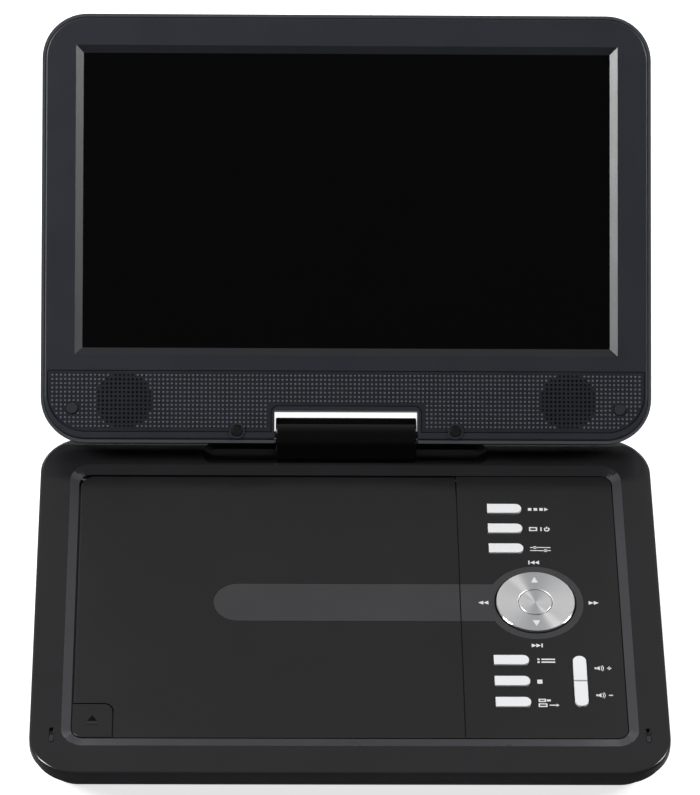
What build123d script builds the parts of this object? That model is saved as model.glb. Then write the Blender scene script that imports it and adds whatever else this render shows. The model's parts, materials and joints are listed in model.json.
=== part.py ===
from build123d import *
from math import cos, sin, radians
import os

os.makedirs("parts", exist_ok=True)

# ---------------------------------------------------------------------------
# Driving dimensions, in millimetres. The object stands on z = 0, +X is its
# right side, +Y points to its back, where the lid is hinged.
# ---------------------------------------------------------------------------

# Base casing
base_width = 257.0
base_depth = 184.0
corner_radius = 19.5
deck_height = 25.0
parting_height = 13.0
underside_height = 2.0
underside_side_inset = 6.0
underside_front_inset = 13.2
waist_front_inset = 5.0
band_bottom = 20.7
band_step = 1.0
parting_reveal = 0.4
case_wall = 2.0
deck_thickness = 2.4
rim_radius = 1.2

# Tray that the disc door and the control panel lie in
tray_side_margin = 16.4
tray_back_margin = 20.4
tray_front_margin = 19.6
tray_corner = 5.0
tray_wall = 2.0
cove_width = 3.7
cove_back_width = 4.3
cove_front_width = 5.1
panel_top = 23.2
floor_top = 21.0
floor_thickness = 1.4
control_width = 65.9
seam_gap = 0.5
floor_ledge = 4.0

# Disc bay
disc_diameter = 120.0
disc_clearance = 2.5
bay_wall = 1.5
bay_rim_width = 6.0
bay_rim_thickness = 2.6
bay_floor = 13.7
bay_floor_thickness = 1.5
turntable_radius = 15.0
turntable_bottom = 14.4
turntable_top = 16.0
disc_hole_radius = 7.5
spindle_clearance = 0.1
chuck_height = 2.8
shaft_radius = 0.75
running_fit = 0.05

# Disc door and its hinge
door_thickness = 2.0
door_axis_inset = 2.1
door_corner_relief = 1.85
trough_depth = 0.7
door_pin_radius = 0.55
door_pin_length = 5.0
door_pin_reach = 1.5
inlay_depth = 0.4
inlay_gap = 0.15
strip_length = 101.5
strip_half_width = 10.15
strip_offset = 0.8

# Open button and latch
button_width = 17.1
button_length = 18.5
button_corner = 3.5
button_travel = 0.8

# Keys and navigation dial
dial_from_seam = 30.9
dial_radius = 16.45
dial_ring_width = 3.45
dial_proud = 0.9
dial_gap = 0.4
centre_radius = 6.7
centre_gap = 0.3
key_from_seam = 12.7
key_length = 14.4
key_width = 5.1
key_gap = 0.25
key_proud = 0.8
key_first_row = 30.6
key_row_pitch = 11.15
key_flange = 0.8
key_flange_thickness = 1.0
volume_from_seam = 47.55
volume_width = 5.5
volume_length = 26.6
volume_split = 0.5

# Lid
lid_width = 257.0
lid_length = 181.1
lid_lip = 3.8
lid_thickness = 15.0
lid_corner = 19.0
lid_wall = 1.3
lid_back_wall = 1.6
lid_back_round = 3.0
lid_rest_angle = 139.0
bezel_inset = 1.5
bezel_thickness = 2.0
bezel_skirt = 4.0
rim_drop = 0.6
screen_width = 222.3
screen_height = 124.7
screen_bottom = 36.2
screen_bevel = 3.15
panel_border = 6.35
screen_depth = 4.9

# Speaker panel on the lid
grille_width = 251.0
grille_bottom = 1.0
grille_top = 26.4
grille_corner = 16.0
grille_thickness = 1.15
grille_gap = 0.3
grille_notch_margin = 1.55
grille_notch_top = 12.0
speaker_x = 93.4
speaker_u = 13.8
speaker_pitch = 1.79
speaker_hole_radius = 0.55
speaker_hole_rings = 42
driver_radius = 12.7

# Hinge: the block turns on the base, the lid tilts on the block
axis_from_back = 6.6
axis_clearance = 1.0
block_half_width = 29.6
barrel_radius = 7.2
block_wall = 1.2
block_floor_gap = 0.3
notch_gap = 0.6
notch_top = 9.85
tilt_pin_radius = 1.5
tilt_pin_inner = 21.5
tilt_pin_outer = 41.5
post_radius = 3.2
post_bore = 2.0
bush_wall = 0.95

# Fasteners and feet
foot_radius = 6.0
foot_seat = 0.5
foot_inset_x = 28.5
foot_back_inset = 18.0
foot_front_inset = 24.0
screw_shank = 1.0
screw_head = 2.5
screw_clearance = 0.3
screw_length = 9.5
screw_head_height = 1.8
screw_slot = 0.7

# Loose fits
fit_gap = 0.2

# ---------------------------------------------------------------------------
# Places worked out from the driving dimensions
# ---------------------------------------------------------------------------

tray_left = tray_side_margin - base_width / 2
tray_right = base_width / 2 - tray_side_margin
tray_back = base_depth / 2 - tray_back_margin
tray_front = tray_front_margin - base_depth / 2
tray_width = tray_right - tray_left
tray_depth = tray_back - tray_front
tray_mid = (tray_back + tray_front) / 2
floor_bottom = floor_top - floor_thickness
seam_x = tray_right - control_width
disc_x = (tray_left + seam_x) / 2
disc_y = tray_mid
bay_radius = disc_diameter / 2 + disc_clearance
strip_y = tray_mid + strip_offset
strip_left = seam_x - strip_length
dial_x = seam_x + dial_from_seam
dial_y = strip_y + 0.1

axis_y = base_depth / 2 - axis_from_back
lid_half = lid_thickness / 2
axis_height = deck_height + max(lid_half, barrel_radius + block_floor_gap) + axis_clearance
lean = radians(180.0 - lid_rest_angle)
lid_top = lid_length - lid_lip

# The object's middle in depth, so that its box is centred on the origin.
back_reach = (axis_y + (lid_top - lid_back_round) * cos(lean)
              + (lid_half - lid_back_round) * sin(lean) + lid_back_round)
base_y = -(back_reach - base_depth / 2) / 2

lid_direction = Vector(0, cos(lean), sin(lean))
lid_normal = Vector(0, -sin(lean), cos(lean))
hinge_point = Vector(0, base_y + axis_y, axis_height)
lid_axis = Axis(hinge_point, lid_normal)


def base_at(height):
    """Level plane over the middle of the base."""
    return Plane((0, base_y, height))


def side_at(x, y, height):
    """Upright plane that faces +X, drawn with Y to the right and Z up."""
    return Plane((x, base_y + y, height), x_dir=(0, 1, 0), z_dir=(1, 0, 0))


def lid_at(depth):
    """Plane parallel to the lid's face, with its Y along the lid from the hinge."""
    return Plane(hinge_point + lid_normal * depth, x_dir=(1, 0, 0), z_dir=lid_normal)


def hinge_at(x):
    """Upright plane across the hinge axis, facing +X."""
    return side_at(x, axis_y, axis_height)


def save(piece, name):
    """Label a finished piece and write it."""
    piece.part.label = name
    export_step(piece.part, f"parts/{name}.step")


# ---------------------------------------------------------------------------
# Fasteners and supports inside the base
# ---------------------------------------------------------------------------

foot_x = base_width / 2 - foot_inset_x
foot_rows = [foot_front_inset - base_depth / 2, base_depth / 2 - foot_back_inset]
foot_places = [(sign * foot_x, y) for sign in (-1, 1) for y in foot_rows]

boss_radius = 3.0
boss_bottom = 8.0
screw_post_radius = 4.5
screw_seat = 4.5
side_screw_y = 56.0
middle_screw_x = 60.0
screw_places = [(sx * tray_right, sy * side_screw_y) for sx in (-1, 1) for sy in (-1, 1)]
middle_screw_rows = [foot_front_inset - 2 - base_depth / 2, tray_back + boss_radius]
screw_places += [(sign * middle_screw_x, y) for sign in (-1, 1) for y in middle_screw_rows]

floor_height = underside_height + case_wall
support_height = 6.0
chassis_top = 10.0
chassis_thickness = 1.4
chassis_half_x = 52.0
chassis_half_y = 48.0
damper_radius = 3.5
damper_inset = 5.5
damper_x = chassis_half_x - damper_inset
damper_y = chassis_half_y - damper_inset
damper_places = [(disc_x + sx * damper_x, disc_y + sy * damper_y) for sx in (-1, 1) for sy in (-1, 1)]

board_thickness = 1.6
main_board_width = 58.0
main_board_depth = 64.0
main_board_x = seam_x + 30.0
main_board_y = tray_back - main_board_depth / 2 - 3.0
battery_width = 58.0
battery_depth = 60.0
battery_height = 8.0
battery_y = tray_front + battery_depth / 2 + 8.0
key_board_top = 17.5
switch_height = 1.4
key_bottom = floor_top - 0.1 - key_flange_thickness

valley_half_width = 60.0
valley_depth = 1.0
valley_front = axis_y - 8.4
valley_back = base_depth / 2 - 3.5
bush_radius = post_radius + running_fit + bush_wall
bush_bottom = 15.6
clip_thickness = 0.8
clip_radius = post_radius + 1.3
post_foot = 13.2

port_height = 16.9
side_face = base_width / 2 - band_step
port_face = side_face - fit_gap
usb_y = -17.0
card_y = -38.5
dc_y = 22.0
dc_height = 17.6
slider_y = 38.0
audio_places = [8.0, -2.0]
usb_width = 13.1
card_slot_width = 24.8
card_drop = 0.8
port_corner = 0.6
jack_nose = 2.7
dc_nose = 3.2
slider_slot = 9.6
slider_recess = 1.2
pad_x = base_width / 2 - 9.0
pad_y = 20.0 - base_depth / 2
pad_slot_length = 7.6
pad_slot_width = 2.2
pad_length = 3.4
pad_width = 1.8
pad_depth = 1.2


# ---------------------------------------------------------------------------
# Base casing
# ---------------------------------------------------------------------------


def hull_outline(side, front):
    """Rounded outline of the base, drawn in from its sides and back and, further, from its front."""
    with Locations((0, (front - side) / 2)):
        RectangleRounded(base_width - 2 * side, base_depth - side - front, corner_radius - side)


inner_inset = band_step + case_wall
with BuildPart() as bottom_case:
    with BuildSketch(base_at(underside_height)):
        hull_outline(underside_side_inset, underside_front_inset)
    with BuildSketch(base_at(parting_height)):
        hull_outline(band_step + parting_reveal, waist_front_inset + parting_reveal)
    loft()
    fillet(bottom_case.edges().group_by(Axis.Z)[0], rim_radius)
    with BuildSketch(base_at(floor_height)):
        hull_outline(underside_side_inset + case_wall, underside_front_inset + case_wall)
    with BuildSketch(base_at(parting_height)):
        hull_outline(inner_inset + parting_reveal, waist_front_inset + case_wall + parting_reveal)
    loft(mode=Mode.SUBTRACT)
    # Posts that the case screws pass through, and supports for the inside pieces
    with BuildSketch(base_at(underside_height)):
        with Locations(screw_places):
            Circle(screw_post_radius)
    extrude(amount=boss_bottom - underside_height)
    with BuildSketch(base_at(floor_height)):
        with Locations(damper_places):
            Circle(damper_radius)
        with Locations((main_board_x, main_board_y)):
            with GridLocations(main_board_width - 8, main_board_depth - 8, 2, 2):
                Circle(boss_radius)
    extrude(amount=support_height - floor_height)
    with BuildSketch(base_at(underside_height)):
        with Locations(screw_places):
            Circle(screw_head + screw_clearance)
    extrude(amount=screw_seat - underside_height, mode=Mode.SUBTRACT)
    with BuildSketch(base_at(underside_height)):
        with Locations(screw_places):
            Circle(screw_shank + screw_clearance)
    extrude(amount=boss_bottom - underside_height, mode=Mode.SUBTRACT)
    with BuildSketch(base_at(underside_height)):
        with Locations(foot_places):
            Circle(foot_radius + fit_gap / 2)
    extrude(amount=foot_seat, mode=Mode.SUBTRACT)
save(bottom_case, "bottom_case")


def tray_outline(grow, corner):
    """Rounded outline of the tray, grown by a margin."""
    with Locations((0, tray_mid)):
        RectangleRounded(tray_width + 2 * grow, tray_depth + 2 * grow, corner)


def port_opening(y, height, width, tall, corner):
    """Sketch of an opening in the right-hand wall."""
    with BuildSketch(side_at(port_face - 2 * case_wall, y, height)) as opening:
        RectangleRounded(width, tall, corner)
    return opening.sketch


def round_opening(y, height, radius):
    """Sketch of a round opening in the right-hand wall."""
    with BuildSketch(side_at(port_face - 2 * case_wall, y, height)) as opening:
        Circle(radius)
    return opening.sketch


with BuildPart() as top_case:
    with BuildSketch(base_at(band_bottom)):
        hull_outline(0, 0)
    extrude(amount=deck_height - band_bottom)
    fillet(top_case.edges().group_by(Axis.Z)[-1], rim_radius)
    with BuildSketch(base_at(parting_height)):
        hull_outline(band_step, waist_front_inset)
    with BuildSketch(base_at(band_bottom)):
        hull_outline(band_step, band_step)
    loft()
    with BuildSketch(base_at(parting_height)):
        hull_outline(inner_inset, waist_front_inset + case_wall)
    with BuildSketch(base_at(deck_height - deck_thickness)):
        hull_outline(inner_inset, inner_inset)
    loft(mode=Mode.SUBTRACT)
    # Tray walls and floor
    with BuildSketch(base_at(floor_bottom)):
        tray_outline(tray_wall, tray_corner + tray_wall)
    extrude(amount=deck_height - deck_thickness / 2 - floor_bottom)
    # Bay under the disc
    with BuildSketch(base_at(bay_floor - bay_floor_thickness)):
        with Locations((disc_x, disc_y)):
            Circle(bay_radius + bay_wall)
    extrude(amount=floor_top - bay_floor + bay_floor_thickness)
    with BuildSketch(base_at(floor_top - bay_rim_thickness)):
        with Locations((disc_x, disc_y)):
            Circle(bay_radius + bay_rim_width)
    extrude(amount=bay_rim_thickness)
    # Bosses for the case screws and for the swivel bush
    with BuildSketch(base_at(boss_bottom)):
        with Locations(screw_places):
            Circle(boss_radius)
    extrude(amount=deck_height - deck_thickness / 2 - boss_bottom)
    with BuildSketch(base_at(bush_bottom)):
        with Locations((0, axis_y - 1)):
            Rectangle(20, 2 * (base_depth / 2 - case_wall - axis_y + 1))
    extrude(amount=deck_height - deck_thickness / 2 - bush_bottom)
    with BuildSketch(base_at(parting_height)):
        with Locations((0, axis_y)):
            Circle(clip_radius + screw_clearance)
    extrude(amount=bush_bottom - parting_height, mode=Mode.SUBTRACT)
    # Ledges that carry the key board
    with BuildSketch(base_at(key_board_top)):
        with Locations((seam_x + control_width / 2, tray_mid)):
            with GridLocations(control_width - floor_ledge, tray_depth - floor_ledge, 2, 2):
                Circle(floor_ledge / 2)
    extrude(amount=floor_top - key_board_top)
    # Everything that is hollowed from above
    with BuildSketch(base_at(floor_top)):
        tray_outline(0, tray_corner)
    extrude(amount=deck_height - floor_top, mode=Mode.SUBTRACT)
    with BuildSketch(base_at(panel_top)):
        tray_outline(0, tray_corner)
    with BuildSketch(base_at(deck_height)):
        with Locations((0, tray_mid + (cove_back_width - cove_front_width) / 2)):
            RectangleRounded(tray_width + 2 * cove_width,
                             tray_depth + cove_back_width + cove_front_width, tray_corner + cove_width)
    loft(mode=Mode.SUBTRACT)
    with BuildSketch(base_at(bay_floor)):
        with Locations((disc_x, disc_y)):
            Circle(bay_radius)
    extrude(amount=deck_height - bay_floor, mode=Mode.SUBTRACT)
    # Hole for the turntable and slot for the lens
    with BuildSketch(base_at(bay_floor - bay_floor_thickness)):
        with Locations((disc_x, disc_y)):
            Circle(turntable_radius + 2)
        with Locations((disc_x, disc_y - bay_radius / 2)):
            Rectangle(26, bay_radius - 1)
    extrude(amount=2 * bay_floor_thickness, mode=Mode.SUBTRACT)
    # Openings under the keys and under the open button
    with BuildSketch(base_at(floor_bottom)):
        with Locations((seam_x + control_width / 2, tray_mid)):
            Rectangle(control_width - 2 * floor_ledge, tray_depth - 2 * floor_ledge)
        with Locations((tray_left + button_width / 2, tray_front + button_length / 2)):
            Rectangle(button_width - 2 * floor_ledge, button_length - 2 * floor_ledge)
        with Locations((tray_left + button_width + 7, tray_front + seam_gap + 2.5)):
            Rectangle(8.4, 3.6)
    extrude(amount=floor_thickness, mode=Mode.SUBTRACT)
    # Trough and pin hole of the door hinge
    with BuildSketch(base_at(floor_top - trough_depth)):
        with Locations(((tray_left + seam_x) / 2, tray_back - door_axis_inset)):
            Rectangle(seam_x - tray_left, 2 * door_axis_inset)
    extrude(amount=trough_depth, mode=Mode.SUBTRACT)
    with BuildSketch(side_at(tray_left - tray_wall + fit_gap, tray_back - door_axis_inset, panel_top - 1)):
        Circle(door_pin_radius + running_fit)
    extrude(amount=tray_wall + 2, mode=Mode.SUBTRACT)
    # Shallow valley in the deck under the hinge block
    with BuildSketch(base_at(deck_height)):
        with Locations((0, (valley_front + valley_back) / 2)):
            RectangleRounded(2 * valley_half_width, valley_back - valley_front, 4)
    with BuildSketch(base_at(deck_height - valley_depth)):
        with Locations((0, (valley_front + valley_back) / 2)):
            RectangleRounded(2 * valley_half_width - 8, valley_back - valley_front - 5, 2)
    loft(mode=Mode.SUBTRACT)
    with BuildSketch(base_at(bush_bottom)):
        with Locations((0, axis_y)):
            Circle(bush_radius)
    extrude(amount=deck_height - bush_bottom, mode=Mode.SUBTRACT)
    # Pilot holes for the case screws
    with BuildSketch(base_at(boss_bottom)):
        with Locations(screw_places):
            Circle(screw_shank)
    extrude(amount=screw_seat + screw_length + 0.5 - boss_bottom, mode=Mode.SUBTRACT)
    # Slots for the small rest pads
    with BuildSketch(base_at(deck_height - pad_depth)):
        with Locations((-pad_x, pad_y), (pad_x, pad_y)):
            SlotOverall(pad_slot_length, pad_slot_width, rotation=90)
    extrude(amount=pad_depth, mode=Mode.SUBTRACT)
    # Openings for the ports, and the recess and slot of the power slider
    openings = [port_opening(usb_y, port_height, usb_width + fit_gap * 2, 6.1, port_corner),
                port_opening(card_y, port_height - card_drop, card_slot_width, 2.8, port_corner),
                port_opening(slider_y, port_height, slider_slot, 1.8, port_corner),
                round_opening(dc_y, dc_height, dc_nose + screw_clearance / 3)]
    openings += [round_opening(y, port_height, jack_nose + screw_clearance) for y in audio_places]
    for opening in openings:
        extrude(opening, amount=3 * case_wall, mode=Mode.SUBTRACT)
    with BuildSketch(side_at(side_face - slider_recess, slider_y, port_height)):
        RectangleRounded(slider_slot + 3.4, 4.6, 1)
    extrude(amount=2, mode=Mode.SUBTRACT)
save(top_case, "top_case")

with BuildPart() as rubber_feet:
    with BuildSketch(base_at(0)):
        with Locations(foot_places):
            Circle(foot_radius)
    extrude(amount=underside_height + foot_seat)
    chamfer(rubber_feet.edges().group_by(Axis.Z)[0], 0.5)
save(rubber_feet, "rubber_feet")

with BuildPart() as case_screws:
    with BuildSketch(base_at(screw_seat - screw_head_height)):
        with Locations(screw_places):
            Circle(screw_head)
    extrude(amount=screw_head_height)
    with BuildSketch(base_at(screw_seat)):
        with Locations(screw_places):
            Circle(screw_shank)
    extrude(amount=screw_length)
    with BuildSketch(base_at(screw_seat - screw_head_height)):
        with Locations(screw_places):
            Rectangle(screw_head + screw_slot, screw_slot)
            Rectangle(screw_slot, screw_head + screw_slot)
    extrude(amount=0.8, mode=Mode.SUBTRACT)
save(case_screws, "case_screws")

with BuildPart() as rest_pads:
    pad_shift = (pad_slot_length - pad_length) / 2 - fit_gap
    with BuildSketch(base_at(deck_height - pad_depth)):
        with Locations((-pad_x, pad_y - pad_shift), (pad_x, pad_y - pad_shift)):
            SlotOverall(pad_length, pad_width, rotation=90)
    extrude(amount=pad_depth + 0.3)
    fillet(rest_pads.edges().group_by(Axis.Z)[-1], 0.3)
save(rest_pads, "rest_pads")

# ---------------------------------------------------------------------------
# Disc door
# ---------------------------------------------------------------------------

door_left = tray_left + seam_gap
door_right = seam_x - seam_gap / 2
door_front = tray_front + seam_gap
door_back = tray_back - seam_gap
door_axis_y = tray_back - door_axis_inset
door_axis_height = panel_top - door_thickness / 2
button_right = tray_left + button_width
button_back = tray_front + button_length


def strip_outline(grow):
    """Outline of the light strip up to the seam, with its round left end."""
    with Locations((strip_left + strip_half_width, strip_y)):
        Circle(strip_half_width + grow)
    with Locations(((strip_left + strip_half_width + door_right) / 2, strip_y)):
        Rectangle(door_right - strip_left - strip_half_width, 2 * (strip_half_width + grow))


def corner_at(outline, x, y):
    """Corner of a sketch that is nearest to a point."""
    return outline.vertices().sort_by_distance((x, y))[0]


with BuildPart() as disc_door:
    with BuildSketch(base_at(panel_top - door_thickness)) as door_outline:
        with Locations(((door_left + door_right) / 2, (door_front + door_back) / 2)):
            Rectangle(door_right - door_left, door_back - door_front)
        with Locations(((door_left + button_right) / 2, (door_front + button_back) / 2)):
            Rectangle(button_right - door_left, button_back - door_front, mode=Mode.SUBTRACT)
        fillet(corner_at(door_outline, door_left, door_back), tray_corner - seam_gap + door_corner_relief)
        fillet(corner_at(door_outline, button_right, button_back), button_corner + seam_gap)
    extrude(amount=door_thickness)
    # Full round along the hinged edge
    fillet(disc_door.edges().filter_by(Axis.X).group_by(Axis.Y)[-1], door_thickness / 2 - 0.02)
    with BuildSketch(base_at(panel_top - inlay_depth)):
        strip_outline(inlay_gap)
    extrude(amount=inlay_depth, mode=Mode.SUBTRACT)
    for side in (door_left, door_right - door_pin_length + door_pin_reach):
        with BuildSketch(side_at(side, door_axis_y, door_axis_height)):
            Circle(door_pin_radius)
        extrude(amount=door_pin_length - door_pin_reach, mode=Mode.SUBTRACT)
    # Catch under the front edge
    with BuildSketch(base_at(floor_bottom)):
        with Locations((button_right + 8, door_front + 2.5)):
            Rectangle(4, 2)
    extrude(amount=panel_top - 1 - floor_bottom)
save(disc_door, "disc_door")

with BuildPart() as door_inlay:
    with BuildSketch(base_at(panel_top - inlay_depth)):
        strip_outline(0)
    extrude(amount=inlay_depth)
save(door_inlay, "door_inlay")

with BuildPart() as door_pins:
    for side in (door_left - door_pin_reach, door_right - door_pin_length + door_pin_reach):
        with BuildSketch(side_at(side, door_axis_y, door_axis_height)):
            Circle(door_pin_radius)
        extrude(amount=door_pin_length)
save(door_pins, "door_pins")

with BuildPart() as open_button:
    with BuildSketch(base_at(floor_top + button_travel + 0.1)) as button_outline:
        with Locations(((door_left + button_right - seam_gap) / 2,
                        (door_front + button_back - seam_gap) / 2)):
            Rectangle(button_right - seam_gap - door_left, button_back - seam_gap - door_front)
        fillet(corner_at(button_outline, door_left, door_front), tray_corner - seam_gap)
        fillet(corner_at(button_outline, button_right, button_back), button_corner)
    extrude(amount=panel_top - floor_top - button_travel)
    fillet(open_button.edges().group_by(Axis.Z)[-1], 0.3)
    with BuildSketch(base_at(key_bottom - 0.6)):
        with Locations((tray_left + button_width / 2, tray_front + button_length / 2)):
            Rectangle(button_width - 2 * floor_ledge - 0.6, button_length - 2 * floor_ledge - 0.6)
    extrude(amount=panel_top - 0.7 - key_bottom + 0.6)
save(open_button, "open_button")

with BuildPart() as door_latch:
    with BuildSketch(base_at(key_board_top - 1)):
        with Locations((tray_left + button_width + 1, door_front + 2.5)):
            Rectangle(22, 4)
    extrude(amount=1.4)
    with BuildSketch(base_at(key_board_top + 0.4)):
        with Locations((button_right + 5, door_front + 2.5)):
            Rectangle(1.4, 2)
    extrude(amount=floor_bottom + 0.8 - key_board_top)
save(door_latch, "door_latch")

# ---------------------------------------------------------------------------
# Control panel, keys and navigation dial
# ---------------------------------------------------------------------------

panel_left = seam_x + seam_gap / 2
panel_right = tray_right - seam_gap
panel_back = tray_back - seam_gap
panel_front = tray_front + seam_gap

key_rows = [dial_y - 0.9 + sign * (key_first_row + row * key_row_pitch)
            for sign in (1, -1) for row in (2, 1, 0)]
key_rows = key_rows[:3] + key_rows[:2:-1]
key_names = ["mode_key", "display_key", "setup_key", "menu_key", "stop_key", "source_key"]
key_x = seam_x + key_from_seam
volume_x = seam_x + volume_from_seam
volume_y = dial_y - 0.9 - key_first_row - key_row_pitch
volume_names = {"volume_up_key": 1, "volume_down_key": -1}


def key_outline(y, grow):
    """Key outline: square left end, half-round right end."""
    radius = key_width / 2
    with Locations((key_x + (key_length - radius) / 2, y)):
        Rectangle(key_length - radius + 2 * grow, key_width + 2 * grow)
    with Locations((key_x + key_length - radius, y)):
        Circle(radius + grow)


def volume_outline(sign, grow):
    """Half of the volume rocker slot, with a half-round outer end."""
    radius = volume_width / 2
    reach = volume_length / 2 - radius
    with Locations((volume_x, volume_y + sign * (reach / 2 + volume_split / 4))):
        Rectangle(volume_width + 2 * grow, reach - volume_split / 2)
    with Locations((volume_x, volume_y + sign * reach)):
        Circle(radius + grow)


with BuildPart() as control_panel:
    with BuildSketch(base_at(floor_top)) as panel_outline:
        with Locations(((panel_left + panel_right) / 2, (panel_front + panel_back) / 2)):
            Rectangle(panel_right - panel_left, panel_back - panel_front)
        fillet(corner_at(panel_outline, panel_right, panel_back), tray_corner - seam_gap)
        fillet(corner_at(panel_outline, panel_right, panel_front), tray_corner - seam_gap)
    extrude(amount=panel_top - floor_top)
    with BuildSketch(base_at(floor_top)):
        for row in key_rows:
            key_outline(row, key_gap)
        with Locations((volume_x, volume_y)):
            SlotOverall(volume_length + 2 * key_gap, volume_width + 2 * key_gap, rotation=90)
        with Locations((dial_x, dial_y)):
            Circle(dial_radius + dial_gap)
    extrude(amount=panel_top - floor_top, mode=Mode.SUBTRACT)
    with BuildSketch(base_at(panel_top - inlay_depth)):
        with Locations(((panel_left + dial_x) / 2, strip_y)):
            Rectangle(dial_x - panel_left, 2 * (strip_half_width + inlay_gap))
        with Locations((dial_x, dial_y)):
            Circle(dial_radius + dial_ring_width + inlay_gap)
    extrude(amount=inlay_depth, mode=Mode.SUBTRACT)
    with BuildSketch(side_at(panel_left, door_axis_y, door_axis_height)):
        Circle(door_pin_radius + running_fit)
    extrude(amount=door_pin_reach, mode=Mode.SUBTRACT)
save(control_panel, "control_panel")

with BuildPart() as panel_inlay:
    with BuildSketch(base_at(panel_top - inlay_depth)):
        with Locations(((panel_left + dial_x) / 2, strip_y)):
            Rectangle(dial_x - panel_left, 2 * strip_half_width)
        with Locations((dial_x, dial_y)):
            Circle(dial_radius + dial_ring_width)
            Circle(dial_radius + dial_gap, mode=Mode.SUBTRACT)
    extrude(amount=inlay_depth)
save(panel_inlay, "panel_inlay")

for name, row in zip(key_names, key_rows):
    with BuildPart() as key:
        with BuildSketch(base_at(key_bottom)):
            key_outline(row, 0)
        extrude(amount=panel_top + key_proud - key_bottom)
        fillet(key.edges().group_by(Axis.Z)[-1], 0.3)
        with BuildSketch(base_at(key_bottom)):
            key_outline(row, key_flange)
        extrude(amount=key_flange_thickness)
    save(key, name)

for name, sign in volume_names.items():
    with BuildPart() as volume_key:
        with BuildSketch(base_at(key_bottom)):
            volume_outline(sign, 0)
        extrude(amount=panel_top + key_proud - key_bottom)
        fillet(volume_key.edges().group_by(Axis.Z)[-1], 0.3)
        with BuildSketch(base_at(key_bottom)):
            volume_outline(sign, key_flange)
        extrude(amount=key_flange_thickness)
    save(volume_key, name)

dial_top = panel_top + dial_proud
dial_flange_top = floor_top - 0.7
dial_flange_thickness = 0.5
dial_flange = 1.0
dial_hub = 1.6
dial_shell = 1.1
dial_switch = 13.1
rocker_height = floor_top + 0.5
rocker_thickness = 1.4
rocker_pin = 0.5
rocker_inner = centre_radius + centre_gap + dial_hub + 0.8
rocker_outer = dial_radius - dial_shell - 0.8
pillar_width = 0.8
pillar_reach = rocker_inner + 0.9


def base_y_plane(height):
    """Upright plane across the dial's middle, facing the back."""
    return Plane((dial_x, base_y + dial_y, height), x_dir=(-1, 0, 0), z_dir=(0, 1, 0))

with BuildPart() as nav_ring:
    with BuildSketch(base_at(dial_flange_top - dial_flange_thickness)):
        with Locations((dial_x, dial_y)):
            Circle(dial_radius)
    extrude(amount=dial_top - dial_flange_top + dial_flange_thickness)
    fillet(nav_ring.edges().group_by(Axis.Z)[-1], 0.9)
    with BuildSketch(base_at(dial_flange_top - dial_flange_thickness)):
        with Locations((dial_x, dial_y)):
            Circle(dial_radius + dial_flange)
    extrude(amount=dial_flange_thickness)
    with BuildSketch(base_at(dial_flange_top - dial_flange_thickness)):
        with Locations((dial_x, dial_y)):
            Circle(dial_radius - dial_shell)
    extrude(amount=dial_hub / 2, mode=Mode.SUBTRACT)
    with BuildSketch(base_at(dial_flange_top - dial_flange_thickness)):
        with Locations((dial_x, dial_y)):
            Circle(dial_radius - dial_shell)
            Circle(centre_radius + centre_gap + dial_hub, mode=Mode.SUBTRACT)
    extrude(amount=dial_top - dial_shell - dial_flange_top + dial_flange_thickness, mode=Mode.SUBTRACT)
    with BuildSketch(base_at(dial_flange_top - dial_flange_thickness)):
        with Locations((dial_x, dial_y)):
            Circle(centre_radius + centre_gap)
    extrude(amount=dial_top, mode=Mode.SUBTRACT)
    # Round seats in the hub for the rocker's pins
    with Locations((dial_x, base_y + dial_y, rocker_height)):
        Cylinder(rocker_pin + running_fit, 2 * rocker_inner, rotation=(0, 90, 0), mode=Mode.SUBTRACT)
save(nav_ring, "nav_ring")

with BuildPart() as nav_rocker:
    with BuildSketch(base_at(rocker_height - rocker_thickness / 2)):
        with Locations((dial_x, dial_y)):
            Circle(rocker_outer)
            Circle(rocker_inner, mode=Mode.SUBTRACT)
            with GridLocations(0, 2 * pillar_reach, 1, 2):
                Rectangle(3.6, pillar_width + 2 * fit_gap, mode=Mode.SUBTRACT)
    extrude(amount=rocker_thickness)
    # Pins across the slots, and pins that reach into the dial's hub
    for sign in (-1, 1):
        with Locations((dial_x, base_y + dial_y + sign * pillar_reach, rocker_height)):
            Cylinder(rocker_pin, pillar_width + 4 * fit_gap, rotation=(90, 0, 0))
        with Locations((dial_x + sign * (rocker_inner - 0.6), base_y + dial_y, rocker_height)):
            Cylinder(rocker_pin, 2, rotation=(0, 90, 0))
save(nav_rocker, "nav_rocker")

with BuildPart() as centre_button:
    with BuildSketch(base_at(key_bottom - 0.2)):
        with Locations((dial_x, dial_y)):
            Circle(centre_radius)
    extrude(amount=dial_top + 0.1 - key_bottom + 0.2)
    fillet(centre_button.edges().group_by(Axis.Z)[-1], 0.5)
    with BuildSketch(base_at(key_bottom - 0.4)):
        with Locations((dial_x, dial_y)):
            Circle(centre_radius + key_flange)
    extrude(amount=0.4)
save(centre_button, "centre_button")

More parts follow.
